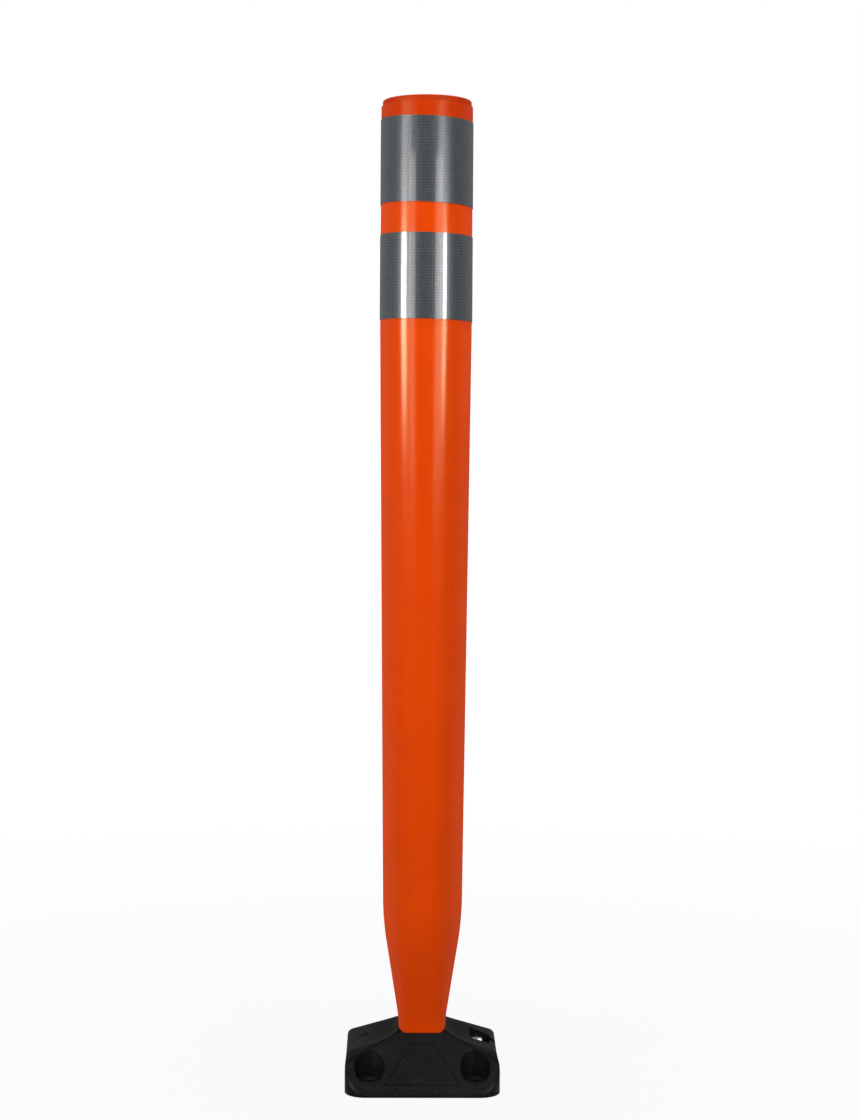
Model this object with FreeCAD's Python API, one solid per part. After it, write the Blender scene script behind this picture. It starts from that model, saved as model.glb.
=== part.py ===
"""Delineator post on a small rubber base, one STEP file for each sub-part.

Millimetres. +Z is up, +X to the right and +Y to the rear, seen from the front. The origin is the centre of the
base's underside, under the axis of the post.
"""

import FreeCAD, Part
import math
import os

from FreeCAD import Vector

# ---- driving dimensions -------------------------------------------------------------------------------------

# Post: a flexible tube, round above, oval below, and pinched to a narrow squared foot
overall_height = 874.0
tube_diameter = 82.55
tube_wall = 3.2
round_margin = 8.6            # from the lower band down to where the tube stops being round
shoulder_height = 137.5       # the taper to the waist starts here
shoulder_squeeze = 5.9        # how much narrower than round each side is at the shoulder
shoulder_bulge = 5.0          # how much deeper than round each side is at the shoulder
shoulder_rise = 15.5          # from the shoulder up to where the flexible neck gives way to the stiff tube
foot_stand = 2.5              # the foot ends and the neck starts this far above the base
waist_rise = 7.1              # from the foot's top up to where the taper ends
neck_lower_length = 45.0
foot_width = 41.8
foot_depth = 65.2
foot_squareness = 3.2         # exponent of the foot's rounded outline; 2 is an ellipse
neck_sides = 24               # facets round the neck and the foot
oval_spans = 4                # stretches of the tube below its round part

# Cap, closing the tube's top
cap_flange = 5.5
cap_inset = 1.2               # its rim is this much narrower than the tube, all round
cap_edge = 0.9                # chamfer round the rim
cap_skirt_length = 24.0
cap_skirt_wall = 2.4
cap_clearance = 0.1

# Reflective bands wrapped round the tube
band_height = 76.2
band_gap = 26.9
band_thickness = 0.45
band_clearance = 0.05
band_top_margin = 18.7        # from the top of the post to the upper band
upper_band_skew = 2.1         # degrees, right side lower
lower_band_skew = 1.2

# Base: a rubber block with ramps at front and rear and a valley at each side
base_width = 135.5
base_depth = 155.0
base_corner_radius = 18.0
rim_height = 5.3              # upright edge at the foot of each ramp
crown_height = 42.3           # top of the ramps, at the foot of the post
crease_fall = 19.0            # from the crown down to the top of a side wall, where the ramp ends
valley_root_depth = 9.2       # valley floor below the crown, beside the post
valley_edge_depth = 3.0       # valley floor below the crease, at the side wall
base_edge = 3.0               # chamfer along the top of the side walls
socket_floor = 8.0
socket_clearance = 0.1

# Anchor holes, one in each corner
anchor_inset_x = 21.5
anchor_inset_y = 18.5
counterbore_diameter = 26.3
counterbore_floor = 8.0
anchor_hole_diameter = 13.5
washer_clearance = 0.9
washer_thickness = 2.5

# Shallow trapezoid panel on each ramp
panel_depth = 0.8
panel_top_width = 20.4
panel_bottom_width = 66.2
panel_top_inset = 9.2         # from the foot of the post, level with the ground
panel_bottom_inset = 2.5      # from the base's front face

# Landing, a level step cut into the rear slope of each valley
landing_length = 18.9         # from the side wall inwards
landing_rear = 24.5           # its rear wall, from the middle of the base
landing_depth = 0.4           # below the valley floor

# Cross pin, driven in through the right side, with a pocket over its end for the clip
pin_diameter = 8.0
pin_clearance = 0.05
pin_inset = 10.2              # from the rear of the foot to the pin's axis
pin_height = 20.4
pin_blind_length = 24.0       # of the bore, past the foot on the left
pin_end_gap = 1.0             # from the blind end of the bore
pin_end_length = 6.5          # past the inner wall of the pocket
pin_chamfer = 1.0
pocket_side_wall = 5.6        # left between the pocket and the base's right side
pocket_ahead = 16.3           # from the pin's axis to the pocket's front wall
pocket_behind = 10.2          # and to its rear wall
pocket_floor = 11.2
clip_width = 3.3              # from the groove outwards
clip_thickness = 1.2
clip_slot_width = 5.0
clip_setback = 1.0            # from the wall of the pocket
clip_clearance = 0.05
groove_depth = 0.8

# Foot core, the insert that fills the pinched foot
core_clearance = 0.1
core_drop = 2.0               # from the foot's top down to the core's top

# Underside: a grid of shallow pads that bites into adhesive
grip_groove_width = 4.0
grip_groove_depth = 1.5
grip_margin = 9.0
grip_columns = 5
grip_rows = 6

# ---- worked out from the driving dimensions -----------------------------------------------------------------

tube_radius = tube_diameter / 2
upper_band_top = overall_height - band_top_margin
lower_band_top = upper_band_top - band_height - band_gap
round_height = lower_band_top - band_height - round_margin
foot_top_height = crown_height + foot_stand
waist_height = foot_top_height + waist_rise
neck_split_height = foot_top_height + neck_lower_length
tube_start_height = shoulder_height + shoulder_rise
core_top_height = foot_top_height - core_drop
tube_top = overall_height - cap_flange
half_width_of_base = base_width / 2
half_depth_of_base = base_depth / 2
ramp_run = half_depth_of_base - foot_depth / 2
ramp_slope = (crown_height - rim_height) / ramp_run
anchor_x = half_width_of_base - anchor_inset_x
anchor_y = half_depth_of_base - anchor_inset_y
pin_y = foot_depth / 2 - pin_inset
crease_edge_height = crown_height - crease_fall
valley_root_height = crown_height - valley_root_depth
valley_edge_height = crease_edge_height - valley_edge_depth
pocket_wall_x = half_width_of_base - landing_length
bore_end_x = -foot_width / 2 - pin_blind_length
groove_diameter = pin_diameter - 2 * groove_depth
clip_diameter = groove_diameter + 2 * clip_width
washer_diameter = counterbore_diameter - 2 * washer_clearance
up = Vector(0, 0, 1)
right = Vector(1, 0, 0)


# ---- outline of the post ------------------------------------------------------------------------------------

def mix(a, b, share):
    return a + (b - a) * share


def profile(height, at_foot, at_shoulder, at_top):
    """Half of the post's width or depth: upright foot, straight taper, then a slow change to round."""
    if height <= waist_height:
        return at_foot
    if height <= shoulder_height:
        return mix(at_foot, at_shoulder, (height - waist_height) / (shoulder_height - waist_height))
    return mix(at_shoulder, at_top, (height - shoulder_height) / (round_height - shoulder_height))


def half_width(height):
    return profile(height, foot_width / 2, tube_radius - shoulder_squeeze, tube_radius)


def half_depth(height):
    return profile(height, foot_depth / 2, tube_radius + shoulder_bulge, tube_radius)


def squareness(height):
    """Exponent of the outline: squared at the foot, and an ellipse from the shoulder up."""
    share = (height - waist_height) / (shoulder_height - waist_height)
    return mix(foot_squareness, 2.0, min(max(share, 0.0), 1.0))


def pinched_outline(height, inset):
    """Faceted superellipse at one height, drawn in from the outer surface by inset."""
    power = 2 / squareness(height)
    points = []
    for i in range(neck_sides):
        angle = 2 * math.pi * i / neck_sides
        across = math.copysign(abs(math.cos(angle)) ** power, math.cos(angle))
        along = math.copysign(abs(math.sin(angle)) ** power, math.sin(angle))
        x = (half_width(height) - inset) * across
        y = (half_depth(height) - inset) * along
        points.append(Vector(x, y, height))
    return Part.makePolygon(points + points[:1])


def pinched_solid(heights, inset):
    return Part.makeLoft([pinched_outline(h, inset) for h in heights], True, True)


def oval(half_x, half_y, height):
    """Ellipse with its long axis along Y."""
    tip = Vector(0, half_y, height)
    centre = Vector(0, 0, height)
    return Part.Wire([Part.Ellipse(tip, Vector(half_x, 0, height), centre).toShape()])


# ---- the post -----------------------------------------------------------------------------------------------

def make_neck(bottom, top):
    """One half of the hollow flexible neck, with a section at each change of taper and halfway between."""
    changes = [bottom] + [h for h in (waist_height, shoulder_height) if bottom < h < top] + [top]
    halfway = [mix(low, high, 0.5) for low, high in zip(changes, changes[1:])]
    heights = sorted(changes + halfway)
    return pinched_solid(heights, 0).cut(pinched_solid(heights, tube_wall))


def make_post_foot():
    """Pinched end of the post, open at the bottom."""
    heights = (socket_floor, foot_top_height)
    return pinched_solid(heights, 0).cut(pinched_solid(heights, tube_wall)).cut(pin_bore())


def make_foot_core():
    """Insert that fills the foot and carries the pin."""
    core = pinched_solid((socket_floor, core_top_height), tube_wall + core_clearance)
    return core.cut(pin_bore())


def tube_solid(inset):
    """Oval stretch below, widening until it is round, and round stretch above."""
    heights = [mix(tube_start_height, round_height, i / oval_spans) for i in range(oval_spans + 1)]
    ovals = [oval(half_width(h) - inset, half_depth(h) - inset, h) for h in heights]
    start = Vector(0, 0, round_height)
    upper = Part.makeCylinder(tube_radius - inset, tube_top - round_height, start)
    return Part.makeLoft(ovals, True, True).fuse(upper)


def make_post_tube():
    return tube_solid(0).cut(tube_solid(tube_wall))


def make_top_cap():
    """Disc with a bevelled rim, and a skirt that plugs into the tube."""
    flange = Part.makeCylinder(tube_radius - cap_inset, cap_flange, Vector(0, 0, tube_top))
    rim = [e for e in flange.Edges if abs(e.BoundBox.ZMin - overall_height) < 1e-6]
    flange = flange.makeChamfer(cap_edge, rim)
    skirt_radius = tube_radius - tube_wall - cap_clearance
    start = Vector(0, 0, tube_top - cap_skirt_length)
    skirt = Part.makeCylinder(skirt_radius, cap_skirt_length, start)
    hollow = Part.makeCylinder(skirt_radius - cap_skirt_wall, cap_skirt_length, start)
    return flange.fuse(skirt.cut(hollow)).removeSplitter()


def make_band(top, skew):
    """Sleeve of sheeting, wrapped a little askew: both edges drop to the right."""
    inner_radius = tube_radius + band_clearance
    outer_radius = inner_radius + band_thickness
    margin = outer_radius
    start = Vector(0, 0, top - band_height - margin)
    height = band_height + 2 * margin
    sleeve = Part.makeCylinder(outer_radius, height, start)
    sleeve = sleeve.cut(Part.makeCylinder(inner_radius, height, start))
    size = 4 * outer_radius
    strip = Part.makeBox(size, size, band_height, Vector(-size / 2, -size / 2, top - band_height))
    strip.rotate(Vector(0, 0, top - band_height / 2), Vector(0, 1, 0), skew)
    return sleeve.common(strip)


# ---- the base -----------------------------------------------------------------------------------------------

def prism(outline, x, length):
    """Solid of one outline, given as (y, z) pairs, drawn along X."""
    points = [Vector(x, y, z) for y, z in outline]
    return Part.Face(Part.makePolygon(points + points[:1])).extrude(Vector(length, 0, 0))


def valley_section(x, crease_y, crease_height, valley_height):
    """V across the depth at one x: it rises from the valley floor through the crease and on past the base."""
    reach = 2 * half_depth_of_base
    edge_height = valley_height + (crease_height - valley_height) * reach / crease_y
    outline = [(-reach, 0), (-reach, edge_height), (0, valley_height), (reach, edge_height), (reach, 0)]
    points = [Vector(x, y, z) for y, z in outline]
    return Part.makePolygon(points + points[:1])


def valleys():
    """Everything below the two side valleys, deep beside the post and nearly flat at the side walls."""
    root = foot_width / 2
    edge_crease_y = half_depth_of_base - (crease_edge_height - rim_height) / ramp_slope
    root_section = valley_section(-root, foot_depth / 2, crown_height, valley_root_height)
    solid = Part.Face(root_section).extrude(Vector(foot_width, 0, 0))
    for side in (-1, 1):
        near = valley_section(side * root, foot_depth / 2, crown_height, valley_root_height)
        far = valley_section(side * half_width_of_base, edge_crease_y, crease_edge_height, valley_edge_height)
        solid = solid.fuse(Part.makeLoft([near, far], True, True))
    return solid


def ramps():
    """Everything below the front and rear ramps."""
    half = half_depth_of_base
    crown = foot_depth / 2
    outline = [(-half, 0), (-half, rim_height), (-crown, crown_height)]
    outline += [(crown, crown_height), (half, rim_height), (half, 0)]
    return prism(outline, -half_width_of_base, base_width)


def is_side_wall(face):
    u_low, u_high, v_low, v_high = face.ParameterRange
    normal = face.normalAt(mix(u_low, u_high, 0.5), mix(v_low, v_high, 0.5))
    return abs(normal.z) < 1e-3 and face.BoundBox.ZMin < 1e-3


def top_edges(body):
    """Edges where a side wall meets a ramp or a valley."""
    walls = [face for face in body.Faces if is_side_wall(face)]
    tops = [face for face in body.Faces if not is_side_wall(face) and face.BoundBox.ZMax > rim_height]
    wall_edges = [edge for face in walls for edge in face.Edges]
    return [edge for face in tops for edge in face.Edges if any(edge.isSame(other) for other in wall_edges)]


def base_body():
    """Ramps, valleys and side walls, with rounded corners and bevelled edges, before any hole."""
    block = Part.makeBox(base_width, base_depth, crown_height, Vector(-half_width_of_base, -half_depth_of_base, 0))
    upright = [e for e in block.Edges if e.BoundBox.ZLength > crown_height / 2]
    block = block.makeFillet(base_corner_radius, upright)
    body = ramps().common(block).common(valleys()).removeSplitter()
    return body.makeChamfer(base_edge, top_edges(body))


def corners():
    """The four anchor places, as (x, y, name)."""
    places = []
    for y, row in ((-anchor_y, "front"), (anchor_y, "rear")):
        for x, side in ((-anchor_x, "left"), (anchor_x, "right")):
            places.append((x, y, row + "_" + side))
    return places


def anchor_hole(x, y):
    return Part.makeCylinder(anchor_hole_diameter / 2, crown_height, Vector(x, y, 0))


def anchor_cut(x, y):
    bore = Part.makeCylinder(counterbore_diameter / 2, crown_height, Vector(x, y, counterbore_floor))
    return anchor_hole(x, y).fuse(bore)


def panel_cut(side):
    """Shallow trapezoid recess in one ramp; side is -1 at the front and 1 at the rear."""
    outline = [
        (-panel_top_width / 2, foot_depth / 2 + panel_top_inset),
        (panel_top_width / 2, foot_depth / 2 + panel_top_inset),
        (panel_bottom_width / 2, half_depth_of_base - panel_bottom_inset),
        (-panel_bottom_width / 2, half_depth_of_base - panel_bottom_inset),
    ]
    floor = []
    for x, y in outline:
        z = rim_height + (half_depth_of_base - y) * ramp_slope - panel_depth * math.hypot(1, ramp_slope)
        floor.append(Vector(x, side * y, z))
    return Part.Face(Part.makePolygon(floor + floor[:1])).extrude(Vector(0, 0, crown_height))


def socket_cut():
    """Pocket that takes the foot of the post, out through the crown."""
    return pinched_solid((socket_floor, crown_height), -socket_clearance)


def pin_bore():
    """From the blind end on the left out through the right side."""
    start = Vector(bore_end_x, pin_y, pin_height)
    return Part.makeCylinder(pin_diameter / 2 + pin_clearance, base_width, start, right)


def landing_cut(side):
    """Level step beside the valley line, from the middle of the base to the landing's rear wall."""
    inner = pocket_wall_x
    outer = half_width_of_base + landing_length
    fall = (valley_root_height - valley_edge_height) / (half_width_of_base - foot_width / 2)
    inner_floor = valley_edge_height + fall * landing_length - landing_depth
    outer_floor = valley_edge_height - fall * landing_length - landing_depth
    outline = [(inner, inner_floor), (outer, outer_floor), (outer, crown_height), (inner, crown_height)]
    points = [Vector(side * x, 0, z) for x, z in outline]
    return Part.Face(Part.makePolygon(points + points[:1])).extrude(Vector(0, landing_rear, 0))


def pocket_cut():
    """Pocket over the end of the pin, open at the top."""
    length = landing_length - pocket_side_wall
    corner = Vector(pocket_wall_x, pin_y - pocket_ahead, pocket_floor)
    return Part.makeBox(length, pocket_ahead + pocket_behind, crown_height, corner)


def grip_cuts():
    """Grooves under the base, between the margin and the anchor holes."""
    length_x = base_width - 2 * grip_margin
    length_y = base_depth - 2 * grip_margin
    cuts = []
    for i in range(grip_columns):
        x = mix(-length_x / 2, length_x / 2, (i + 1) / (grip_columns + 1))
        corner = Vector(x - grip_groove_width / 2, -length_y / 2, 0)
        cuts.append(Part.makeBox(grip_groove_width, length_y, grip_groove_depth, corner))
    for i in range(grip_rows):
        y = mix(-length_y / 2, length_y / 2, (i + 1) / (grip_rows + 1))
        corner = Vector(-length_x / 2, y - grip_groove_width / 2, 0)
        cuts.append(Part.makeBox(length_x, grip_groove_width, grip_groove_depth, corner))
    return cuts


def make_base_block():
    cuts = [anchor_cut(x, y) for x, y, name in corners()]
    cuts += [panel_cut(-1), panel_cut(1)]
    cuts += [landing_cut(-1), landing_cut(1)]
    cuts += grip_cuts()
    cuts += [socket_cut(), pocket_cut(), pin_bore()]
    return base_body().cut(cuts).removeSplitter()


def make_washer(x, y):
    washer = Part.makeCylinder(washer_diameter / 2, washer_thickness, Vector(x, y, counterbore_floor))
    return washer.cut(anchor_hole(x, y))


# ---- the pin ------------------------------------------------------------------------------------------------

def make_cross_pin():
    """Plain pin, turned in one piece, with a chamfer at each end and a groove for its clip."""
    blunt = bore_end_x + pin_end_gap
    tip = pocket_wall_x + pin_end_length
    groove = pocket_wall_x + clip_setback
    radius = pin_diameter / 2
    outline = [
        (blunt, 0),
        (blunt, radius - pin_chamfer),
        (blunt + pin_chamfer, radius),
        (groove, radius),
        (groove, groove_diameter / 2),
        (groove + clip_thickness, groove_diameter / 2),
        (groove + clip_thickness, radius),
        (tip - pin_chamfer, radius),
        (tip, radius - pin_chamfer),
        (tip, 0),
    ]
    points = [Vector(x, pin_y, pin_height + r) for x, r in outline]
    face = Part.Face(Part.makePolygon(points + points[:1]))
    return face.revolve(Vector(0, pin_y, pin_height), right, 360)


def make_retaining_clip():
    """Snap ring in the pin's groove, with its slot at the top."""
    start = Vector(pocket_wall_x + clip_setback, pin_y, pin_height)
    ring = Part.makeCylinder(clip_diameter / 2, clip_thickness, start, right)
    ring = ring.cut(Part.makeCylinder(groove_diameter / 2 + clip_clearance, clip_thickness, start, right))
    corner = Vector(start.x, pin_y - clip_slot_width / 2, pin_height)
    return ring.cut(Part.makeBox(clip_thickness, clip_slot_width, clip_diameter, corner))


# ---- all sub-parts ------------------------------------------------------------------------------------------

def make_parts():
    parts = {
        "base_block": make_base_block(),
        "cross_pin": make_cross_pin(),
        "retaining_clip": make_retaining_clip(),
        "foot_core": make_foot_core(),
        "post_foot": make_post_foot(),
        "neck_lower": make_neck(foot_top_height, neck_split_height),
        "neck_upper": make_neck(neck_split_height, tube_start_height),
        "post_tube": make_post_tube(),
        "top_cap": make_top_cap(),
        "upper_band": make_band(upper_band_top, upper_band_skew),
        "lower_band": make_band(lower_band_top, lower_band_skew),
    }
    for x, y, name in corners():
        parts["washer_" + name] = make_washer(x, y)
    return parts


def main():
    os.makedirs("parts", exist_ok=True)
    for name, shape in make_parts().items():
        if not shape.isValid() or len(shape.Solids) != 1:
            raise RuntimeError(name + " isn't one valid solid")
        shape.Solids[0].exportStep(os.path.join("parts", name + ".step"))
        print(f"{name}: {shape.Volume / 1000:.2f} cm3")


main()
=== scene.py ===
import bpy
import math

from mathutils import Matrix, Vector


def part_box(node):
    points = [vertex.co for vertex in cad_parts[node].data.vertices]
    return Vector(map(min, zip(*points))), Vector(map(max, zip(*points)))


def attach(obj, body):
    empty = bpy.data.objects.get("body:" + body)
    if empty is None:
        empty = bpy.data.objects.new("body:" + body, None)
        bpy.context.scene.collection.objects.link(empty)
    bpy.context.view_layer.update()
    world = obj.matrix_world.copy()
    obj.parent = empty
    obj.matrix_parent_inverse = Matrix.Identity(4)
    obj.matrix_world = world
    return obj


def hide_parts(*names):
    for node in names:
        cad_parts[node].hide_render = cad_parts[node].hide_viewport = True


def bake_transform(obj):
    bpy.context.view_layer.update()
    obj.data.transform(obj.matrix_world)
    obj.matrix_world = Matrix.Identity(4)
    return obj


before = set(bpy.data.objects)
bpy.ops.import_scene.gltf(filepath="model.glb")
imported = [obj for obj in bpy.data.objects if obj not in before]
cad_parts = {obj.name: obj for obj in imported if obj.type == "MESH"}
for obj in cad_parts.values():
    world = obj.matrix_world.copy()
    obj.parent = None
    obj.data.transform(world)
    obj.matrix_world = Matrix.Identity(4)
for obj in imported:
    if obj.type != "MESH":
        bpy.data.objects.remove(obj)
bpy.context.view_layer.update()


# ---- studio --------------------------------------------------------------------------------------
# A pale floor under a white surround, lit by soft boxes in front, behind and overhead. At each side
# of the camera a narrow strip and a wide glow light gloss alone, for the two highlights that run
# down the post. The camera stands 1.86 m in front of the post, a little above its middle.

class Value:
    """An output of a shader node. Sums written with it add Math nodes to the same material."""

    def __init__(self, tree, socket):
        self.tree = tree
        self.socket = socket

    def node(self, kind, settings, inputs, output=0):
        """Add any node: its settings first, then the values or links of its sockets."""
        node = self.tree.nodes.new(kind)
        for name, setting in settings.items():
            if name == "stops":
                fill_ramp(node.color_ramp, setting)
            else:
                setattr(node, name, setting)
        for name, value in inputs.items():
            if isinstance(value, Value):
                self.tree.links.new(value.socket, node.inputs[name])
            else:
                node.inputs[name].default_value = value
        return Value(self.tree, node.outputs[output])

    def math(self, operation, *values):
        return self.node("ShaderNodeMath", {"operation": operation}, dict(enumerate(values)))

    def at_least(self, low):
        return self.math("MAXIMUM", self, low)

    def at_most(self, high):
        return self.math("MINIMUM", self, high)

    def __add__(self, other):
        return self.math("ADD", self, other)

    def __sub__(self, other):
        return self.math("SUBTRACT", self, other)

    def __rsub__(self, other):
        return self.math("SUBTRACT", other, self)

    def __mul__(self, other):
        return self.math("MULTIPLY", self, other)

    def __truediv__(self, other):
        return self.math("DIVIDE", self, other)

    def __lt__(self, other):
        return self.math("LESS_THAN", self, other)

    def __gt__(self, other):
        return self.math("GREATER_THAN", self, other)

    def __abs__(self):
        return self.math("ABSOLUTE", self)

    __radd__ = __add__
    __rmul__ = __mul__


def fill_ramp(ramp, stops):
    """Stops are (position, colour) pairs, from low to high."""
    while len(ramp.elements) < len(stops):
        ramp.elements.new(1.0)
    for element, (position, colour) in zip(ramp.elements, stops):
        element.position = position
        element.color = (*colour, 1.0)


def start_material(name):
    """A new material: it, its Principled shader, and the place on the object as a Value."""
    material = bpy.data.materials.new(name)
    material.use_nodes = True
    tree = material.node_tree
    place = tree.nodes.new("ShaderNodeTexCoord").outputs["Object"]
    return material, tree.nodes["Principled BSDF"], Value(tree, place)


def wire(shader, **inputs):
    """Link values into a shader's sockets; underscores in a name stand for spaces."""
    for name, value in inputs.items():
        value.tree.links.new(value.socket, shader.inputs[name.replace("_", " ")])


def seen_directly(value):
    """1 for rays that look straight at a surface or mirror it, 0 for the rest."""
    path = value.tree.nodes.new("ShaderNodeLightPath")
    kinds = ("Is Camera Ray", "Is Glossy Ray", "Is Transmission Ray")
    camera, glossy, through = (Value(value.tree, path.outputs[kind]) for kind in kinds)
    return camera.at_least(glossy).at_least(through)


floor_width = 14.0
floor_drop = 0.0004           # just under the base, so that the two never share a plane
floor_reach = 1.3             # the floor is plain white from here out
floor_white = 0.92            # how near to that it is at the post; the rest shows the shadow

bpy.ops.object.select_all(action="DESELECT")
bpy.ops.mesh.primitive_plane_add(size=floor_width, location=(0, 0, -floor_drop))
floor = bpy.context.object
floor.name = "floor"
bpy.ops.object.transform_apply(location=True)
floor_material, floor_shader, place = start_material("floor_paint")
floor_shader.inputs["Base Color"].default_value = (0.30, 0.30, 0.30, 1.0)
floor_shader.inputs["Roughness"].default_value = 0.9
floor_shader.inputs["Specular IOR Level"].default_value = 0.0
distance = place.node("ShaderNodeVectorMath", {"operation": "LENGTH"}, {0: place}, output=1)
fade = (distance / floor_reach).at_most(1.0)
glow = place.node("ShaderNodeEmission", {}, {"Color": (1, 1, 1, 1), "Strength": 1.0})
painted = Value(place.tree, floor_shader.outputs["BSDF"])
share = seen_directly(place) * (floor_white + (1 - floor_white) * fade)
mixed = place.node("ShaderNodeMixShader", {}, {0: share, 1: painted, 2: glow})
place.tree.links.new(mixed.socket, place.tree.nodes["Material Output"].inputs["Surface"])
floor.data.materials.append(floor_material)

world = bpy.data.worlds.new("surround")
world.use_nodes = True
bpy.context.scene.world = world
sky = Value(world.node_tree, None)
light = sky.node("ShaderNodeBackground", {}, {"Color": (1, 1, 1, 1), "Strength": 0.36})
white = sky.node("ShaderNodeBackground", {}, {"Color": (1, 1, 1, 1), "Strength": 1.0})
mixed = sky.node("ShaderNodeMixShader", {}, {0: seen_directly(sky), 1: light, 2: white})
world.node_tree.links.new(mixed.socket, world.node_tree.nodes["World Output"].inputs["Surface"])


haze_start, haze_gain = 0.2, 1.2


def haze(place):
    """0 where a surface is seen square on, and nearly 1 at a slant, to dull its gloss there."""
    facing = place.node("ShaderNodeLayerWeight", {}, {"Blend": 0.5}, output=1)
    return (facing - haze_start).at_least(0.0) * haze_gain


def soft_box(name, place, aim, width, height, power, matt=True, gloss=True):
    """A rectangular lamp that faces a point. It may light only matt or only glossy surfaces."""
    turn = (Vector(aim) - Vector(place)).to_track_quat("-Z", "Y").to_euler()
    bpy.ops.object.light_add(type="AREA", location=place, rotation=turn)
    lamp = bpy.context.object
    lamp.name = name
    lamp.data.shape = "RECTANGLE"
    lamp.data.size = width
    lamp.data.size_y = height
    lamp.data.energy = power
    lamp.visible_diffuse = matt
    lamp.visible_glossy = gloss


soft_box("left_fill", (-1.30, -1.00, 1.05), (0, 0, 0.65), 0.75, 0.75, 13.0)
soft_box("right_fill", (0.94, -1.30, 1.05), (0, 0, 0.65), 0.45, 0.75, 8.5)
soft_box("top_box", (0.2, -0.6, 2.2), (0, 0, 0.3), 1.6, 1.2, 22.0)
soft_box("rear_left_fill", (-1.20, 1.30, 1.10), (0, 0, 0.55), 0.80, 0.80, 8.0, gloss=False)
soft_box("rear_right_fill", (1.20, 1.30, 1.10), (0, 0, 0.55), 0.80, 0.80, 8.0, gloss=False)
soft_box("left_strip", (-1.35, -0.86, 0.80), (0, 0, 0.72), 0.36, 0.26, 40.0, matt=False)
soft_box("left_glow", (-0.94, -1.29, 0.80), (0, 0, 0.72), 0.45, 0.50, 12.0, matt=False)
soft_box("right_strip", (1.14, -1.12, 0.80), (0, 0, 0.72), 0.27, 0.26, 26.0, matt=False)
soft_box("right_glow", (0.80, -1.39, 0.80), (0, 0, 0.72), 0.50, 0.50, 14.0, matt=False)

bpy.ops.object.camera_add(
    location=(-0.0255, -1.860, 0.552),
    rotation=(math.radians(90.0), math.radians(-0.35), math.radians(-0.92)),
)
camera = bpy.context.object
camera.data.lens = 66.34
camera.data.shift_y = -0.0902
bpy.context.scene.camera = camera
bpy.context.scene.view_settings.view_transform = "Standard"


# ---- post ----------------------------------------------------------------------------------------
# One hollow moulding of flexible polyurethane: a round tube that turns oval downwards and is
# pinched to a squared foot, which plugs into the base. It is cut here where it bends, into foot,
# two neck halves and tube.

hair = 1e-5                   # places nearer than this are one place
upright = (0, 0, 1)
post_sides = 96
post_wall = 0.0032
tube_low, tube_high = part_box("post_tube")
foot_low, foot_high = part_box("post_foot")
tube_radius = tube_high.x
shoulder_half_width = tube_radius - 0.0059
shoulder_half_depth = tube_radius + 0.0050
round_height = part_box("lower_band")[0].z - 0.008
shoulder_height, shoulder_round = 0.1375, 0.016
waist_height, waist_round = 0.0519, 0.0065
foot_corner_width, foot_corner_depth = 0.0060, 0.0200
foot_start = 0.030
neck_start = foot_high.z
neck_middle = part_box("neck_lower")[1].z
neck_end = tube_low.z + 0.006
neck_ring_step = 0.0028
tube_rings, tube_ring_start, tube_ring_step = 12, 0.2, 0.05
forming_line_heights, forming_line_half_width = (0.1455, 0.1540), 0.0004
darker_from, darkening = 0.850, 110.0   # the orange darkens upwards from here, per metre


def edit(piece):
    """Select one piece alone and open it for editing, with nothing selected inside."""
    if bpy.context.mode != "OBJECT":
        bpy.ops.object.mode_set(mode="OBJECT")
    bpy.ops.object.select_all(action="DESELECT")
    bpy.context.view_layer.objects.active = piece
    piece.select_set(True)
    bpy.ops.object.mode_set(mode="EDIT")
    bpy.ops.mesh.select_all(action="DESELECT")


def pick(piece, kind, wanted):
    """Select the vertices, edges or polygons of an open piece whose points are all wanted."""
    bpy.ops.mesh.select_mode(type={"vertices": "VERT", "edges": "EDGE", "polygons": "FACE"}[kind])
    bpy.ops.mesh.select_all(action="DESELECT")
    bpy.ops.object.mode_set(mode="OBJECT")
    points = piece.data.vertices
    for part in getattr(piece.data, kind):
        corners = [part.index] if kind == "vertices" else part.vertices
        part.select = all(wanted(points[i].co) for i in corners)
    bpy.ops.object.mode_set(mode="EDIT")


def close_edit(piece, name):
    """Leave edit mode and name the piece."""
    bpy.ops.object.mode_set(mode="OBJECT")
    piece.name = name
    piece.data.name = name


def use_modifier(piece, kind, **settings):
    """Add one modifier to the active piece and apply it."""
    modifier = piece.modifiers.new(kind.lower(), kind)
    for name, setting in settings.items():
        setattr(modifier, name, setting)
    bpy.ops.object.modifier_apply(modifier=modifier.name)


def at_height(height):
    return lambda point: abs(point.z - height) < hair


def cut_through(middle, normal, **clear):
    """Cut all of the open piece with a plane, and clear one side of it if told to."""
    bpy.ops.mesh.select_all(action="SELECT")
    bpy.ops.mesh.bisect(plane_co=middle, plane_no=normal, **clear)


def foot_outline(margin, height):
    """A face in the shape of the foot, a rectangle with long rounded corners, open for editing."""
    bpy.ops.object.select_all(action="DESELECT")
    bpy.ops.mesh.primitive_plane_add(size=1.0, location=(0, 0, 0))
    outline = bpy.context.object
    edit(outline)
    bpy.ops.mesh.select_all(action="SELECT")
    stretch = foot_corner_depth / foot_corner_width
    size_x, size_y = 2 * (foot_high.x + margin), 2 * (foot_high.y + margin)
    bpy.ops.transform.resize(value=(size_x, size_y / stretch, 1))
    bpy.ops.mesh.bevel(offset=foot_corner_width, segments=post_sides // 4 - 1, affect="VERTICES")
    bpy.ops.transform.resize(value=(1, stretch, 1), center_override=(0, 0, 0))
    bpy.ops.transform.translate(value=(0, 0, height))
    return outline


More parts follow.
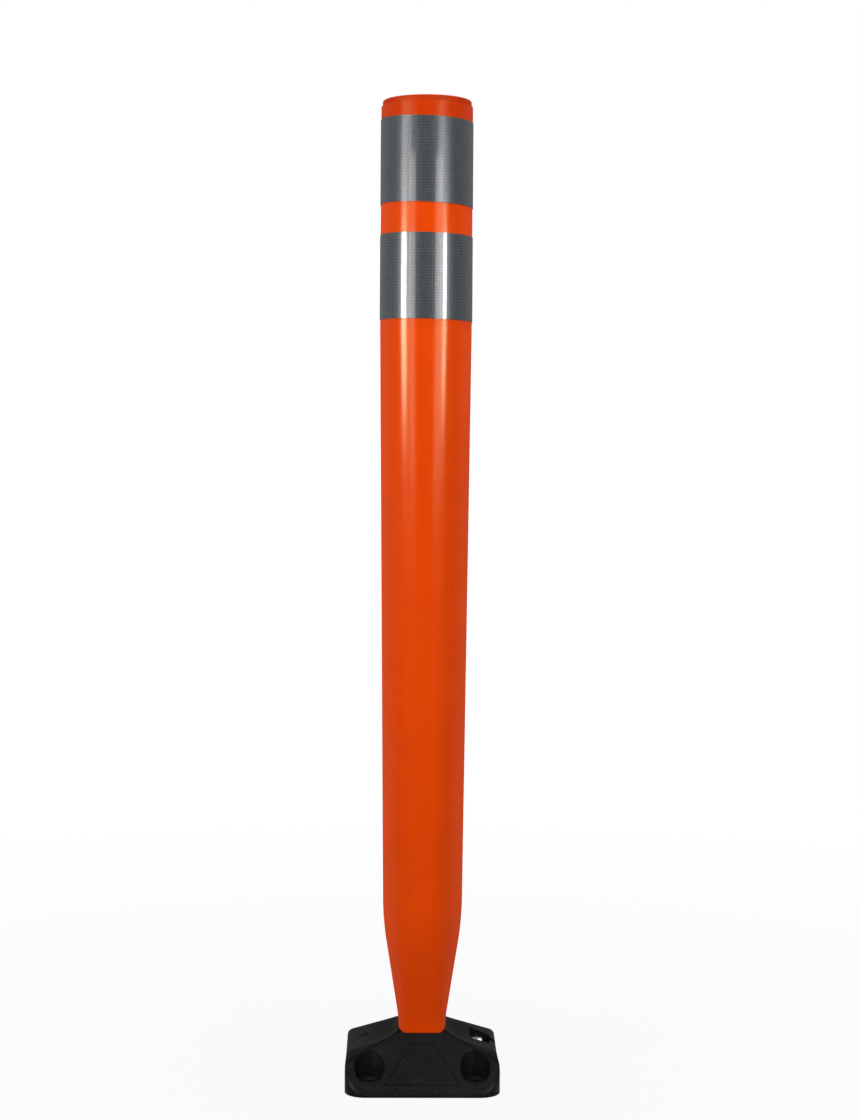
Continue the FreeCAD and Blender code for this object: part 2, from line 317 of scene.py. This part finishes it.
post = foot_outline(0, foot_start)
bpy.ops.mesh.delete(type="ONLY_FACE")
bpy.ops.mesh.select_all(action="SELECT")
bpy.ops.mesh.extrude_edges_move(TRANSFORM_OT_translate={"value": (0, 0, waist_height - foot_start)})

# the rings above it, from the shoulder to the tube's top
half_step = math.pi / post_sides
rings = [
    (shoulder_height, shoulder_half_width, shoulder_half_depth),
    (round_height, tube_radius, tube_radius),
    (tube_high.z, tube_radius, tube_radius),
]
for height, half_width, half_depth in rings:
    bpy.ops.mesh.select_all(action="DESELECT")
    bpy.ops.mesh.primitive_circle_add(
        vertices=post_sides, radius=1.0, location=(0, 0, height), rotation=(0, 0, half_step)
    )
    bpy.ops.transform.resize(value=(half_width, half_depth, 1), center_override=(0, 0, height))
heights = [waist_height] + [ring[0] for ring in rings]
for low, high in zip(heights, heights[1:]):
    pick(post, "edges", lambda point: at_height(low)(point) or at_height(high)(point))
    bpy.ops.mesh.bridge_edge_loops()

# soften the shoulder and the waist, then ring the neck closely so that it can bend, and the tube
# more widely
pick(post, "edges", at_height(shoulder_height))
bpy.ops.mesh.bevel(offset=shoulder_round, segments=8)
pick(post, "edges", at_height(waist_height))
bpy.ops.mesh.bevel(offset=waist_round, segments=5)
for i in range(int((neck_end - neck_start) / neck_ring_step) + 1):
    cut_through((0, 0, neck_start + i * neck_ring_step), upright)
for i in range(tube_rings):
    cut_through((0, 0, tube_ring_start + i * tube_ring_step), upright)
bpy.ops.mesh.select_all(action="SELECT")
bpy.ops.mesh.normals_make_consistent(inside=False)
close_edit(post, "post")

orange, orange_shader, place = start_material("post_orange")
height = place.node("ShaderNodeSeparateXYZ", {}, {0: place}, output=2)
mottle = place.node("ShaderNodeTexNoise", {}, {"Vector": place, "Scale": 14.0, "Detail": 3.0})
drawn_out = place.node("ShaderNodeMapping", {}, {"Vector": place, "Scale": (60.0, 60.0, 2.5)})
streaks = place.node("ShaderNodeTexNoise", {}, {"Vector": drawn_out, "Scale": 1.0, "Detail": 2.0})
grain = place.node("ShaderNodeTexNoise", {}, {"Vector": place, "Scale": 1400.0, "Detail": 1.0})
tint = mottle * 0.6 + streaks * 0.4 - (height - darker_from).at_least(0.0) * darkening
oranges = [
    (0.02, (0.57, 0.036, 0.0002)),
    (0.35, (0.73, 0.053, 0.0002)),
    (0.65, (0.79, 0.063, 0.0004)),
]
paint = place.node("ShaderNodeValToRGB", {"stops": oranges}, {"Fac": tint})
relief = grain * 0.03
for line_height in forming_line_heights:
    relief = relief + (abs(height - line_height) < forming_line_half_width)
bump = place.node("ShaderNodeBump", {}, {"Strength": 0.35, "Distance": 0.0004, "Height": relief})
roughness = 0.15 + mottle * 0.08 + haze(place) * 0.75
wire(orange_shader, Base_Color=paint, Roughness=roughness, Normal=bump)
orange_shader.inputs["Specular IOR Level"].default_value = 0.07
orange_shader.inputs["Specular Tint"].default_value = (1.0, 0.90, 0.50, 1.0)


def cut_piece(name, bottom, top):
    """One stretch of the moulding between two heights, given its wall."""
    piece = post.copy()
    piece.data = post.data.copy()
    bpy.context.collection.objects.link(piece)
    edit(piece)
    cut_through((0, 0, bottom), upright, clear_inner=True)
    cut_through((0, 0, top), upright, clear_outer=True)
    close_edit(piece, name)
    use_modifier(piece, "SOLIDIFY", thickness=post_wall, offset=-1)
    bpy.ops.object.shade_smooth_by_angle(angle=math.radians(50))
    piece.data.materials.append(orange)
    return piece


foot = cut_piece("foot", foot_start, neck_start)
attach(foot, "base")
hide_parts("post_foot")

neck_below = cut_piece("neck_below", neck_start, neck_middle)
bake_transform(neck_below)
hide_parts("neck_lower")

neck_above = cut_piece("neck_above", neck_middle, neck_end)
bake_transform(neck_above)
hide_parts("neck_upper")

tube = cut_piece("tube", neck_end, tube_high.z)
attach(tube, "post")
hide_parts("post_tube")
bpy.data.objects.remove(post)


# ---- cap -----------------------------------------------------------------------------------------
# A moulded disc that closes the tube, a little narrower than it, with a rounded rim and a shallow
# dish in its top. Its skirt is pushed down inside the tube, and the small button in the middle,
# with a ditch round it, is where the mould was filled.

cap_low, cap_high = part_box("top_cap")
cap_radius = tube_radius - 0.0012
cap_flange = cap_high.z - tube_high.z
cap_round = 0.0014
dish_radius, dish_edge, dish_depth = 0.031, 0.001, 0.0007
ditch_radius, ditch_edge, ditch_depth, ditch_floor = 0.004, 0.0004, 0.0004, 0.0012
button_edge, button_rise = 0.0004, 0.0005
skirt_clearance, skirt_wall = 0.0001, 0.0024
skirt_drop = tube_high.z - cap_low.z


def start_piece(name, primitive, **settings):
    """Add one primitive at its size and place, its origin at (0, 0, 0), open for editing."""
    if bpy.context.mode != "OBJECT":
        bpy.ops.object.mode_set(mode="OBJECT")
    bpy.ops.object.select_all(action="DESELECT")
    primitive(**settings)
    bpy.ops.object.transform_apply(location=True, rotation=True, scale=True)
    piece = bpy.context.object
    piece.name = name
    piece.data.name = name
    edit(piece)
    return piece


def finish_piece(piece, material, angle=40):
    """Close the piece, smooth it up to an angle in degrees, and give it its material and slot."""
    bpy.ops.mesh.select_all(action="SELECT")
    bpy.ops.mesh.remove_doubles(threshold=1e-6)
    bpy.ops.mesh.normals_make_consistent(inside=False)
    bpy.ops.object.mode_set(mode="OBJECT")
    bpy.ops.object.shade_smooth_by_angle(angle=math.radians(angle))
    piece.data.materials.clear()
    piece.data.materials.append(material)


cap = start_piece(
    "cap",
    bpy.ops.mesh.primitive_cylinder_add,
    vertices=128,
    radius=cap_radius,
    depth=cap_flange,
    location=(0, 0, tube_high.z + cap_flange / 2),
)
pick(cap, "edges", at_height(cap_high.z))
bpy.ops.mesh.bevel(offset=cap_round, segments=5)
pick(cap, "polygons", at_height(cap_high.z))
bpy.ops.mesh.inset(thickness=cap_radius - cap_round - dish_radius)
bpy.ops.mesh.inset(thickness=dish_edge, depth=-dish_depth)
bpy.ops.mesh.inset(thickness=dish_radius - dish_edge - ditch_radius)
bpy.ops.mesh.inset(thickness=ditch_edge, depth=-ditch_depth)
bpy.ops.mesh.inset(thickness=ditch_floor)
bpy.ops.mesh.inset(thickness=button_edge, depth=button_rise)
pick(cap, "polygons", at_height(tube_high.z))
bpy.ops.mesh.inset(thickness=cap_radius - tube_radius + post_wall + skirt_clearance)
bpy.ops.mesh.extrude_region_move(TRANSFORM_OT_translate={"value": (0, 0, -skirt_drop)})
bpy.ops.mesh.inset(thickness=skirt_wall)
bpy.ops.mesh.extrude_region_move(TRANSFORM_OT_translate={"value": (0, 0, skirt_drop)})

cap_orange, cap_shader, place = start_material("cap_orange")
mottle = place.node("ShaderNodeTexNoise", {}, {"Vector": place, "Scale": 60.0, "Detail": 3.0})
grain = place.node("ShaderNodeTexNoise", {}, {"Vector": place, "Scale": 1600.0, "Detail": 2.0})
paint = place.node(
    "ShaderNodeValToRGB",
    {"stops": [(0.3, (0.40, 0.022, 0.0004)), (0.7, (0.49, 0.030, 0.0006))]},
    {"Fac": mottle},
)
bump = place.node("ShaderNodeBump", {}, {"Strength": 0.2, "Distance": 0.0001, "Height": grain})
roughness = 0.42 + mottle * 0.15 + haze(place) * 0.4
wire(cap_shader, Base_Color=paint, Roughness=roughness, Normal=bump)
cap_shader.inputs["Specular IOR Level"].default_value = 0.07
cap_shader.inputs["Specular Tint"].default_value = (1.0, 0.85, 0.40, 1.0)
finish_piece(cap, cap_orange, angle=50)
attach(cap, "post")
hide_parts("top_cap")


# ---- reflective bands ----------------------------------------------------------------------------
# Two strips of prismatic sheeting stuck round the tube, a clear film over rows of tiny corner cubes
# that are welded to their backing in small squares. Each strip is wrapped a little askew and
# overlaps itself at the back.

band_radius = tube_radius + 0.00048
band_thickness = 0.0004
lap_thickness = 0.0003
lap_half_angle = math.radians(8)
cell = 0.0025                 # side of one welded square
weld_start = 0.40             # where its weld begins, in cells from its middle
skew_spare = 0.0001           # keeps a slanting end inside the band's own height
sleeve_spare = 0.01           # extra sleeve, which the slanting cuts take off

sheeting, sheeting_shader, place = start_material("sheeting")
right, rear, up = (
    place.node("ShaderNodeSeparateXYZ", {}, {0: place}, output=i) for i in range(3)
)
columns = right.math("ARCTAN2", right, rear * -1) * band_radius / cell
rows = up / cell
across = abs(columns.math("FRACT", columns) - 0.5)
along = abs(rows.math("FRACT", rows) - 0.5)
weld = across.at_least(along) > weld_start
whole_columns, whole_rows = columns.math("FLOOR", columns), rows.math("FLOOR", rows)
cells = place.node("ShaderNodeCombineXYZ", {}, {"X": whole_columns, "Y": whole_rows})
speckle = place.node("ShaderNodeTexWhiteNoise", {"noise_dimensions": "2D"}, {"Vector": cells})
drift = place.node("ShaderNodeTexNoise", {}, {"Vector": place, "Scale": 45.0, "Detail": 2.0})
shade = 0.30 + 0.16 * speckle + 0.50 * weld
greys = [(0.2, (0.018, 0.022, 0.026)), (0.6, (0.037, 0.044, 0.051)), (1.0, (0.072, 0.083, 0.093))]
silver = place.node("ShaderNodeValToRGB", {"stops": greys}, {"Fac": shade})
relief = weld * -0.4 + drift
bump = place.node("ShaderNodeBump", {}, {"Strength": 0.25, "Distance": 0.0001, "Height": relief})
roughness = 0.34 - 0.10 * weld + haze(place) * 0.6
film = 0.45 * (1 - haze(place))
wire(sheeting_shader, Base_Color=silver, Roughness=roughness, Normal=bump, Coat_Weight=film)
sheeting_shader.inputs["Specular IOR Level"].default_value = 0.15
sheeting_shader.inputs["Coat IOR"].default_value = 1.3
sheeting_shader.inputs["Coat Roughness"].default_value = 0.06


def make_band(name, node, skew):
    """A sleeve cut off at a slant, skew in degrees, thickened, with its lap raised at the back."""
    low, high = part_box(node)
    slope = math.tan(math.radians(skew))
    normal = Vector((slope, 0, 1)).normalized()
    rise = slope * (band_radius + skew_spare)
    lap_scale = 1 + lap_thickness / band_radius
    band = start_piece(
        name,
        bpy.ops.mesh.primitive_cylinder_add,
        vertices=180,
        radius=band_radius,
        depth=high.z - low.z + sleeve_spare,
        end_fill_type="NOTHING",
        location=(0, 0, (low.z + high.z) / 2),
    )
    cut_through((0, 0, low.z + rise), normal, clear_inner=True)
    cut_through((0, 0, high.z - rise), normal, clear_outer=True)
    pick(band, "polygons", lambda point: abs(math.atan2(point.x, point.y)) < lap_half_angle)
    bpy.ops.mesh.duplicate()
    bpy.ops.transform.resize(value=(lap_scale, lap_scale, 1), center_override=(0, 0, 0))
    bpy.ops.object.mode_set(mode="OBJECT")
    use_modifier(band, "SOLIDIFY", thickness=band_thickness, offset=-1)
    edit(band)
    finish_piece(band, sheeting, angle=30)
    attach(band, "post")
    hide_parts(node)


make_band("band_above", "upper_band", skew=2.1)
make_band("band_below", "lower_band", skew=1.2)


# ---- base ----------------------------------------------------------------------------------------
# A block of black rubber, pressed in a mould, with a ramp at front and rear and a valley at each
# side. Its edges come out of the mould softly rounded, and the grain of the mould shows all over.

half_width, half_depth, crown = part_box("base_block")[1]
base_corner = 0.018
edge_width, edge_drop = 0.0045, 0.0036   # the rounding all round its top edge
edge_steps = (0.04, 0.08, 0.13, 0.20, 0.25, 0.30)   # shares of that width from line to line
rim = 0.0053                  # upright edge at the foot of each ramp
front_crest = foot_high.z + 0.0006   # where the front ramp meets the post
rear_slope = (crown - rim) / (half_depth - foot_high.y)
front_slope = (front_crest - rim) / (half_depth - foot_high.y)
valley_root = crown - 0.0092  # valley floor beside the collar
collar_rise = 0.0050          # how far the valley floor climbs up beside the foot
collar_reach = 0.25           # the share of its run, from the foot outwards, in which it does
soft_valley = 0.6             # how round its bottom is beside the foot, less so further out
crease_edge = crown - 0.0190  # where ramp and valley meet, at the side wall
valley_edge = crease_edge - 0.0030
crease_y = half_depth - (crease_edge - rim) / rear_slope
collar_x = foot_high.x + 0.0015
run_x, run_y = half_width - collar_x, crease_y - foot_high.y   # of each diagonal crease
soft_crease = 0.0048          # four times how far the rounding lowers a crease
lip_edge = 0.0008             # rounding round each hole
anchor_x, anchor_y = half_width - 0.0215, half_depth - 0.0185
counterbore_radius, counterbore_floor, anchor_radius = 0.01315, 0.0080, 0.00675
landing_x = half_width - 0.0189
landing_rear, landing_depth, landing_rise = 0.0245, 0.0004, 0.0021
pin_low, pin_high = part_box("cross_pin")
pin_y, pin_z = (pin_low.y + pin_high.y) / 2, (pin_low.z + pin_high.z) / 2
pin_radius, pin_clearance, pin_end_gap = (pin_high.y - pin_low.y) / 2, 0.00005, 0.001
pocket_ahead, pocket_behind, pocket_floor = 0.0108, 0.0102, 0.0112
pocket_reach, pocket_wall = 0.005, 0.0056   # from the landing inwards, and left at the side wall
panel_top_y, panel_bottom_y = foot_high.y + 0.0092, half_depth - 0.0045
panel_top_width, panel_bottom_width = 0.0204, 0.0662
panel_depth, groove_depth, groove_width = 0.0009, 0.0032, 0.0016
socket_clearance = 0.0004
grip_columns, grip_rows = 5, 6
grip_margin, grip_width, grip_depth = 0.009, 0.004, 0.0015
grip_x, grip_y = half_width - grip_margin, half_depth - grip_margin
overrun = 0.01                # how far a cutter runs out past what it cuts
over_base, panel_cutter_height, cutter_height = 0.06, 0.05, 0.1   # all end above the base


def cut_away(piece, cutter):
    """Take one closed piece out of another, and drop it."""
    bpy.ops.mesh.select_all(action="SELECT")
    bpy.ops.mesh.normals_make_consistent(inside=False)
    edit(piece)
    bpy.ops.object.mode_set(mode="OBJECT")
    use_modifier(piece, "BOOLEAN", object=cutter, operation="DIFFERENCE", solver="MANIFOLD")
    bpy.data.objects.remove(cutter)


def round_sharp_edges(piece, sharpness, offset, segments, wanted):
    """Bevel the edges that turn by more than an angle, where all of their points are wanted."""
    pick(piece, "edges", wanted)
    chosen = {edge.index for edge in piece.data.edges if edge.select}
    bpy.ops.mesh.select_all(action="DESELECT")
    bpy.ops.mesh.edges_select_sharp(sharpness=math.radians(sharpness))
    bpy.ops.object.mode_set(mode="OBJECT")
    for edge in piece.data.edges:
        edge.select = edge.select and edge.index in chosen
    for corner in piece.data.vertices:
        corner.select = False
    for face in piece.data.polygons:
        face.select = False
    bpy.ops.object.mode_set(mode="EDIT")
    bpy.ops.mesh.bevel(offset=offset, segments=segments, clamp_overlap=False)


def draw_up(height):
    bpy.ops.mesh.select_all(action="SELECT")
    bpy.ops.mesh.extrude_region_move(TRANSFORM_OT_translate={"value": (0, 0, height)})


rubber, rubber_shader, place = start_material("base_rubber")
grain = place.node("ShaderNodeTexNoise", {}, {"Vector": place, "Scale": 650.0, "Detail": 3.0})
cloud = place.node("ShaderNodeTexNoise", {}, {"Vector": place, "Scale": 35.0, "Detail": 4.0})
right, rear = (place.node("ShaderNodeSeparateXYZ", {}, {0: place}, output=i) for i in (0, 1))
across, along = abs(right), abs(rear)

# painted shade: each valley's front half, which faces away from the lamps, is darker and rougher
valley_shade_margin, valley_shade_edge, valley_shade_fade = 0.0025, 300.0, 40.0
inside_crease = (across - collar_x) * (run_y / run_x) + foot_high.y + valley_shade_margin - along
in_valley = (inside_crease * valley_shade_edge).at_most(1.0).at_least(0.0)
valley_shade = in_valley * (rear * -valley_shade_fade).at_most(1.0).at_least(0.0)

# the rims of the counterbores and the four corners are rubbed smoother
wear_width = 0.0012
from_anchor_x, from_anchor_y = across - anchor_x, along - anchor_y
from_anchor = from_anchor_x * from_anchor_x + from_anchor_y * from_anchor_y
past_x = (across - (half_width - base_corner)).at_least(0.0)
past_y = (along - (half_depth - base_corner)).at_least(0.0)
corner_reach = past_x * past_x + past_y * past_y
at_corner = (past_x > 0.0) * (past_y > 0.0) * (corner_reach > (base_corner - edge_width) ** 2)
worn = (from_anchor < (counterbore_radius + wear_width) ** 2) + at_corner

# the valleys' front halves are painted darker here: painted shade
paint = place.node(
    "ShaderNodeValToRGB",
    {"stops": [(0.36, (0.004, 0.004, 0.004)), (0.66, (0.013, 0.013, 0.013))]},
    {"Fac": cloud * 0.3 + grain * 0.7 - valley_shade * 0.35},
)
bump = place.node("ShaderNodeBump", {}, {"Strength": 0.7, "Distance": 0.0003, "Height": grain})
roughness = 0.52 + cloud * 0.14 - 0.26 * worn.at_most(1.0) + 0.40 * valley_shade
wire(rubber_shader, Base_Color=paint, Roughness=roughness, Normal=bump)
rubber_shader.inputs["Specular IOR Level"].default_value = 0.022

base = start_piece("base", bpy.ops.mesh.primitive_plane_add, size=1.0)
bpy.ops.mesh.select_all(action="SELECT")
bpy.ops.transform.resize(value=(2 * half_width, 2 * half_depth, 1))
bpy.ops.mesh.bevel(offset=base_corner, segments=12, affect="VERTICES")
for step in edge_steps:
    bpy.ops.mesh.inset(thickness=edge_width * step)


def cut_beside_foot(side_x, side_y, start_y, rise_y):
    """Cut a slanting line outwards from the collar in one quarter of the base."""
    pick(
        base,
        "polygons",
        lambda point: point.x * side_x > collar_x - hair and point.y * side_y > -hair,
    )
    bpy.ops.mesh.bisect(
        plane_co=(side_x * collar_x, side_y * start_y, 0),
        plane_no=(-side_x * rise_y, side_y * run_x, 0),
    )


def cut_ahead_of_foot(side_y, y):
    """Cut a straight line over the strip that is as wide as the foot, before or behind it."""
    pick(
        base,
        "polygons",
        lambda point: abs(point.x) < collar_x + hair and point.y * side_y > -hair,
    )
    bpy.ops.mesh.bisect(plane_co=(0, side_y * y, 0), plane_no=(0, 1, 0))


# lines across it where the ramps, the valleys and their creases will be
strips = 8
crease_offsets = (-0.0045, -0.0030, -0.0015, 0, 0.0015, 0.0030, 0.0045)
valley_shares = (0.12, 0.25, 0.5, 0.75)
cut_through((0, 0, 0), (0, 1, 0))
cut_through((foot_high.x, 0, 0), (1, 0, 0))
cut_through((-foot_high.x, 0, 0), (1, 0, 0))
for i in range(strips):
    x = collar_x + run_x * i / strips
    cut_through((x, 0, 0), (1, 0, 0))
    cut_through((-x, 0, 0), (1, 0, 0))
for side_y in (-1, 1):
    for offset in crease_offsets:
        for side_x in (-1, 1):
            cut_beside_foot(side_x, side_y, foot_high.y + offset, run_y)
        cut_ahead_of_foot(side_y, foot_high.y + offset)
    for share in (*valley_shares, 1):
        cut_ahead_of_foot(side_y, share * (foot_high.y - foot_corner_depth))
    for share in valley_shares:
        for side_x in (-1, 1):
            cut_beside_foot(side_x, side_y, share * foot_high.y, share * run_y)


def top_height(point):
    """Height of the base's top: a ramp beyond the crease, and a valley that rises to it before."""
    slope = front_slope if point.y < 0 else rear_slope
    outward = max(abs(point.x) - collar_x, 0) / run_x
    crease_at = foot_high.y + run_y * outward
    crease_height = rim + (half_depth - crease_at) * slope
    near_foot = max(1 - outward / collar_reach, 0)
    floor_height = valley_root + (valley_edge - valley_root) * outward
    floor_height += collar_rise * near_foot ** 2
    ramp = rim + (half_depth - abs(point.y)) * slope
    share = abs(point.y) / crease_at
    if abs(point.x) < foot_high.x + hair:
        share = min(abs(point.y) / (foot_high.y - foot_corner_depth), 1)
    soft = soft_valley * (1 - outward)
    climb, full_climb = math.hypot(share, soft) - soft, math.hypot(1, soft) - soft
    valley = floor_height + (crease_height - floor_height) * climb / full_climb
    blend = max(soft_crease - abs(ramp - valley), 0)
    past_x = abs(point.x) - half_width + base_corner
    past_y = abs(point.y) - half_depth + base_corner
    inside = base_corner - math.hypot(max(past_x, 0), max(past_y, 0)) - min(max(past_x, past_y), 0)
    edge = min(max(1 - inside / edge_width, 0), 1)
    rounding = edge_drop * (1 - math.sqrt(1 - edge ** 2))
    return min(ramp, valley) - blend ** 2 / (4 * soft_crease) - rounding


draw_up(crown)
bpy.ops.object.mode_set(mode="OBJECT")
for corner in base.data.vertices:
    if corner.co.z > crown / 2:
        corner.co.z = top_height(corner.co)
edit(base)
bpy.ops.mesh.select_all(action="SELECT")
bpy.ops.mesh.dissolve_limited(angle_limit=math.radians(0.2))


def sheet_cutter(name, low, high, floors, height=cutter_height, rear_rise=0.0):
    """A closed cutter over a sloping floor: floors holds its heights at its low and high X end."""
    cutter = start_piece(name, bpy.ops.mesh.primitive_plane_add, size=1.0)
    bpy.ops.mesh.select_all(action="SELECT")
    bpy.ops.transform.resize(value=(high[0] - low[0], high[1] - low[1], 1))
    bpy.ops.transform.translate(value=((low[0] + high[0]) / 2, (low[1] + high[1]) / 2, floors[0]))
    pick(cutter, "vertices", lambda point: point.x > (low[0] + high[0]) / 2)
    bpy.ops.transform.translate(value=(0, 0, floors[1] - floors[0]))
    pick(cutter, "vertices", lambda point: point.y > (low[1] + high[1]) / 2)
    bpy.ops.transform.translate(value=(0, 0, rear_rise))
    draw_up(height)
    return cutter


def round_cutter(radius, start, end):
    """A round cutter between two points, which differ along one axis only."""
    run = Vector(end) - Vector(start)
    return start_piece(
        "bore",
        bpy.ops.mesh.primitive_cylinder_add,
        vertices=64,
        radius=radius,
        depth=run.length,
        location=(Vector(start) + Vector(end)) / 2,
        rotation=(0, math.pi / 2 if run.x else 0, 0),
    )


# the landings, level steps in the rear of the valleys
valley_fall = (valley_edge - valley_root) / (half_width - foot_high.x)
landing_end = half_width + overrun
landing_floor = valley_edge - valley_fall * (half_width - landing_x) - landing_depth
floors = (landing_floor, landing_floor + valley_fall * (landing_end - landing_x))
landing_low, landing_high = (landing_x, 0), (landing_end, landing_rear)
landing = sheet_cutter("landing", landing_low, landing_high, floors, rear_rise=landing_rise)
cut_away(base, landing)
landing_low, landing_high = (-landing_end, 0), (-landing_x, landing_rear)
landing = sheet_cutter("landing", landing_low, landing_high, floors[::-1], rear_rise=landing_rise)
cut_away(base, landing)

# the pocket over one end of the pin, and the hole for the pin
pocket_low = (landing_x - pocket_reach, pin_y - pocket_ahead)
pocket_high = (half_width - pocket_wall, pin_y + pocket_behind)
cut_away(base, sheet_cutter("pocket", pocket_low, pocket_high, (pocket_floor, pocket_floor)))
bore_start = (pin_low.x - pin_end_gap, pin_y, pin_z)
bore_end = (half_width + overrun, pin_y, pin_z)
cut_away(base, round_cutter(pin_radius + pin_clearance, bore_start, bore_end))

# the shallow panel in each ramp, wide at the bottom, with a groove along its lower edge
for side, slope in ((-1, front_slope), (1, rear_slope)):
    for top_y, top_width, depth in (
        (panel_top_y, panel_top_width, panel_depth),
        (panel_bottom_y - groove_width, panel_bottom_width, groove_depth),
    ):
        panel = start_piece("panel", bpy.ops.mesh.primitive_plane_add, size=1.0)
        bpy.ops.mesh.select_all(action="SELECT")
        bpy.ops.transform.resize(value=(panel_bottom_width, panel_bottom_y - top_y, 1))
        bottom_z = rim + (half_depth - panel_bottom_y) * slope - depth * math.hypot(1, slope)
        bpy.ops.transform.translate(value=(0, side * (panel_bottom_y + top_y) / 2, bottom_z))
        pick(panel, "vertices", lambda point: abs(point.y) < (panel_bottom_y + top_y) / 2)
        bpy.ops.transform.resize(value=(top_width / panel_bottom_width, 1, 1))
        bpy.ops.transform.translate(value=(0, 0, (panel_bottom_y - top_y) * slope))
        draw_up(panel_cutter_height)
        cut_away(base, panel)

# anchor holes, each with its counterbore
for x in (-anchor_x, anchor_x):
    for y in (-anchor_y, anchor_y):
        top = (x, y, over_base)
        cut_away(base, round_cutter(counterbore_radius, (x, y, counterbore_floor), top))
        cut_away(base, round_cutter(anchor_radius, (x, y, -overrun), top))

# the socket for the foot
socket = foot_outline(socket_clearance, foot_low.z)
draw_up(cutter_height)
cut_away(base, socket)

# shallow grooves under the base, which bite into adhesive
far_below = 0.1
grip_floors, grip_height = (-far_below, -far_below), far_below + grip_depth
for i in range(1, grip_columns + 1):
    x = -grip_x + 2 * grip_x * i / (grip_columns + 1)
    grip_low, grip_high = (x - grip_width / 2, -grip_y), (x + grip_width / 2, grip_y)
    cut_away(base, sheet_cutter("grip", grip_low, grip_high, grip_floors, grip_height))
for i in range(1, grip_rows + 1):
    y = -grip_y + 2 * grip_y * i / (grip_rows + 1)
    grip_low, grip_high = (-grip_x, y - grip_width / 2), (grip_x, y + grip_width / 2)
    cut_away(base, sheet_cutter("grip", grip_low, grip_high, grip_floors, grip_height))


rim_spare, short_edge = 0.0002, 0.0008


def on_counterbore_rim(point):
    reach = math.hypot(abs(point.x) - anchor_x, abs(point.y) - anchor_y)
    above_floor = point.z > counterbore_floor + 0.001
    return abs(reach - counterbore_radius) < rim_spare and above_floor


edit(base)
pick(base, "vertices", on_counterbore_rim)
bpy.ops.mesh.remove_doubles(threshold=short_edge)
round_sharp_edges(base, 40, lip_edge, 3, on_counterbore_rim)
finish_piece(base, rubber, angle=35)
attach(base, "base")
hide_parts("base_block")


# ---- anchor washers ------------------------------------------------------------------------------
# A punched steel washer lies on the floor of each counterbore, for the head of an anchor. Its zinc
# plating is dark, and painted darker still as painted shade deep in the counterbore.
# Turned lines from the press show on its face.

for node in ("washer_front_left", "washer_front_right", "washer_rear_left", "washer_rear_right"):
    zinc, zinc_shader, place = start_material(node + "_zinc")
    low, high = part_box(node)
    to_middle = (-(low.x + high.x) / 2, -(low.y + high.y) / 2, 0)
    centred = place.node("ShaderNodeMapping", {}, {"Vector": place, "Location": to_middle})
    radius = centred.node("ShaderNodeVectorMath", {"operation": "LENGTH"}, {0: centred}, output=1)
    lines = place.node(
        "ShaderNodeTexNoise",
        {"noise_dimensions": "1D"},
        {"W": radius, "Scale": 2500.0, "Detail": 2.0},
    )
    stain = place.node("ShaderNodeTexNoise", {}, {"Vector": place, "Scale": 220.0, "Detail": 4.0})
    # painted shade: near black, for the shade at the bottom of the counterbore
    paint = place.node(
        "ShaderNodeValToRGB",
        {"stops": [(0.3, (0.003, 0.003, 0.003)), (0.7, (0.009, 0.009, 0.009))]},
        {"Fac": stain},
    )
    bump = place.node("ShaderNodeBump", {}, {"Strength": 0.2, "Distance": 0.0001, "Height": lines})
    wire(zinc_shader, Base_Color=paint, Roughness=0.35 + stain * 0.3, Normal=bump)
    zinc_shader.inputs["Metallic"].default_value = 0.8
    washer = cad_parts[node]
    washer.data.materials.clear()
    washer.data.materials.append(zinc)


# ---- pin, clip and core --------------------------------------------------------------------------
# A turned steel pin goes through the foot and the plastic core inside it, and a snap ring of spring
# steel in the pocket holds it. Fine turning lines run round the pin.

steel, steel_shader, place = start_material("pin_steel")
along = place.node("ShaderNodeSeparateXYZ", {}, {0: place}, output=0)
lines = place.node(
    "ShaderNodeTexNoise",
    {"noise_dimensions": "1D"},
    {"W": along, "Scale": 5000.0, "Detail": 2.0},
)
smear = place.node("ShaderNodeTexNoise", {}, {"Vector": place, "Scale": 160.0, "Detail": 3.0})
paint = place.node(
    "ShaderNodeValToRGB",
    {"stops": [(0.3, (0.30, 0.30, 0.31)), (0.7, (0.52, 0.52, 0.53))]},
    {"Fac": smear},
)
bump = place.node("ShaderNodeBump", {}, {"Strength": 0.15, "Distance": 0.00005, "Height": lines})
wire(steel_shader, Base_Color=paint, Roughness=0.25 + smear * 0.2, Normal=bump)
steel_shader.inputs["Metallic"].default_value = 1.0

spring, spring_shader, place = start_material("clip_steel")
oxide = place.node("ShaderNodeTexNoise", {}, {"Vector": place, "Scale": 400.0, "Detail": 4.0})
paint = place.node(
    "ShaderNodeValToRGB",
    {"stops": [(0.3, (0.030, 0.027, 0.024)), (0.7, (0.085, 0.078, 0.070))]},
    {"Fac": oxide},
)
wire(spring_shader, Base_Color=paint, Roughness=0.35 + oxide * 0.25)
spring_shader.inputs["Metallic"].default_value = 0.9

insert, insert_shader, place = start_material("core_grey")
grain = place.node("ShaderNodeTexNoise", {}, {"Vector": place, "Scale": 700.0, "Detail": 3.0})
paint = place.node(
    "ShaderNodeValToRGB",
    {"stops": [(0.3, (0.085, 0.085, 0.085)), (0.7, (0.115, 0.115, 0.115))]},
    {"Fac": grain},
)
bump = place.node("ShaderNodeBump", {}, {"Strength": 0.3, "Distance": 0.0001, "Height": grain})
wire(insert_shader, Base_Color=paint, Roughness=0.55 + grain * 0.15, Normal=bump)

for node, material in (("cross_pin", steel), ("retaining_clip", spring), ("foot_core", insert)):
    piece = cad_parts[node]
    piece.data.materials.clear()
    piece.data.materials.append(material)
